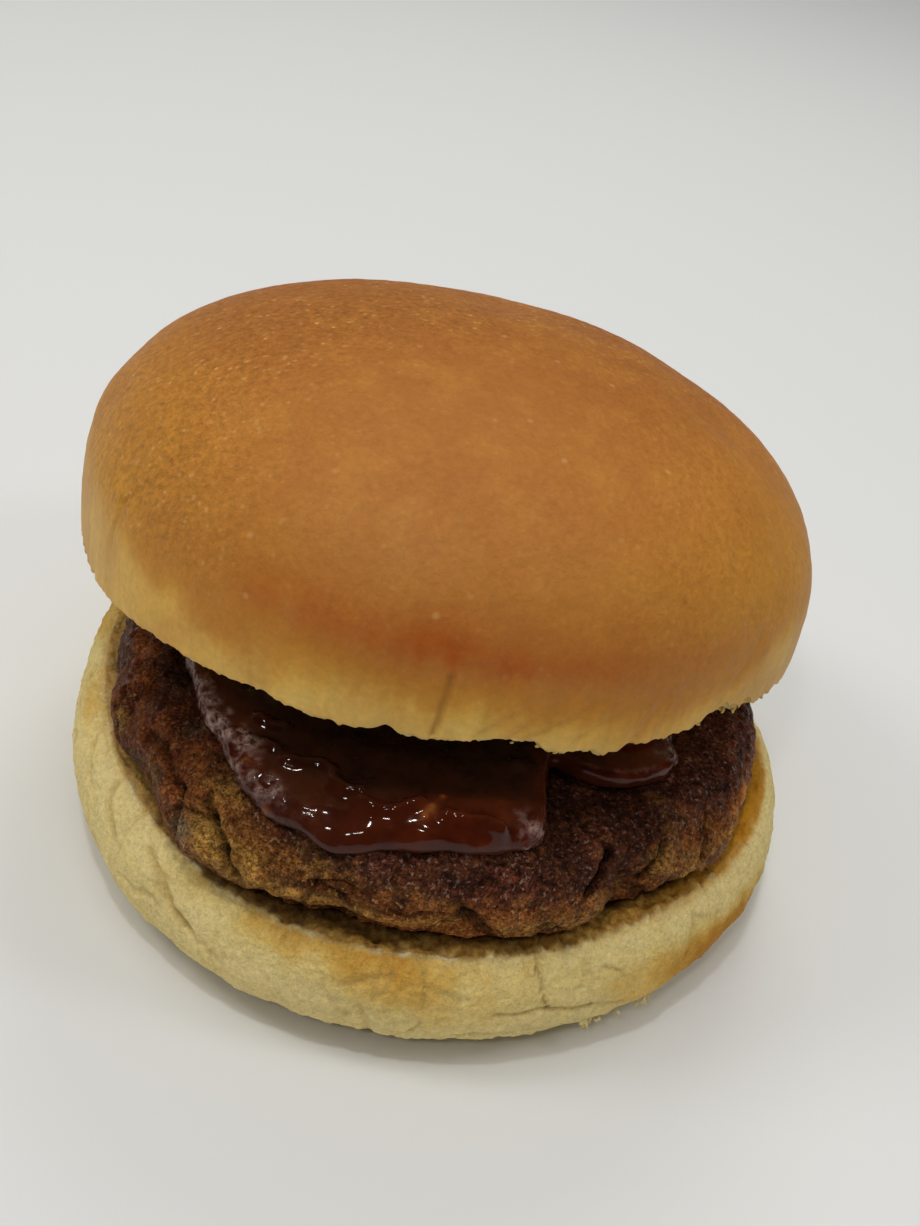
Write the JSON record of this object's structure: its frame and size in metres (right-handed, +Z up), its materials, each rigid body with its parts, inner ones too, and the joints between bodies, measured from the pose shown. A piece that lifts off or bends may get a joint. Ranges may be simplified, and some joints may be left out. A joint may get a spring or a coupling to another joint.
{
  "type": "burger",
  "caption": "Burger served closed: a soft round bun cut in two holds a thick grilled meat patty and a slab of glossy brown sauce; the top bun sits back and tips, open at the front.",
  "frame": {"origin": "centre of the bottom bun's flat underside, on the surface that the burger stands on", "axes": "+Z up through the bun; -Y is the open front, where the sauce shows; +X is the right-hand side seen from the front"},
  "size_m": [0.1031, 0.1088, 0.0686],
  "materials": {
    "bread": "matte, soft pale bread",
    "meat": "rough, browned and a little greasy",
    "sauce": "wet gloss",
    "crust": "satin, golden brown baked crust"
  },
  "bodies": {
    "root": {"bun_bottom": "bread", "patty": "meat", "sauce": "sauce", "bun_top": "crust"}
  },
  "joints": []
}
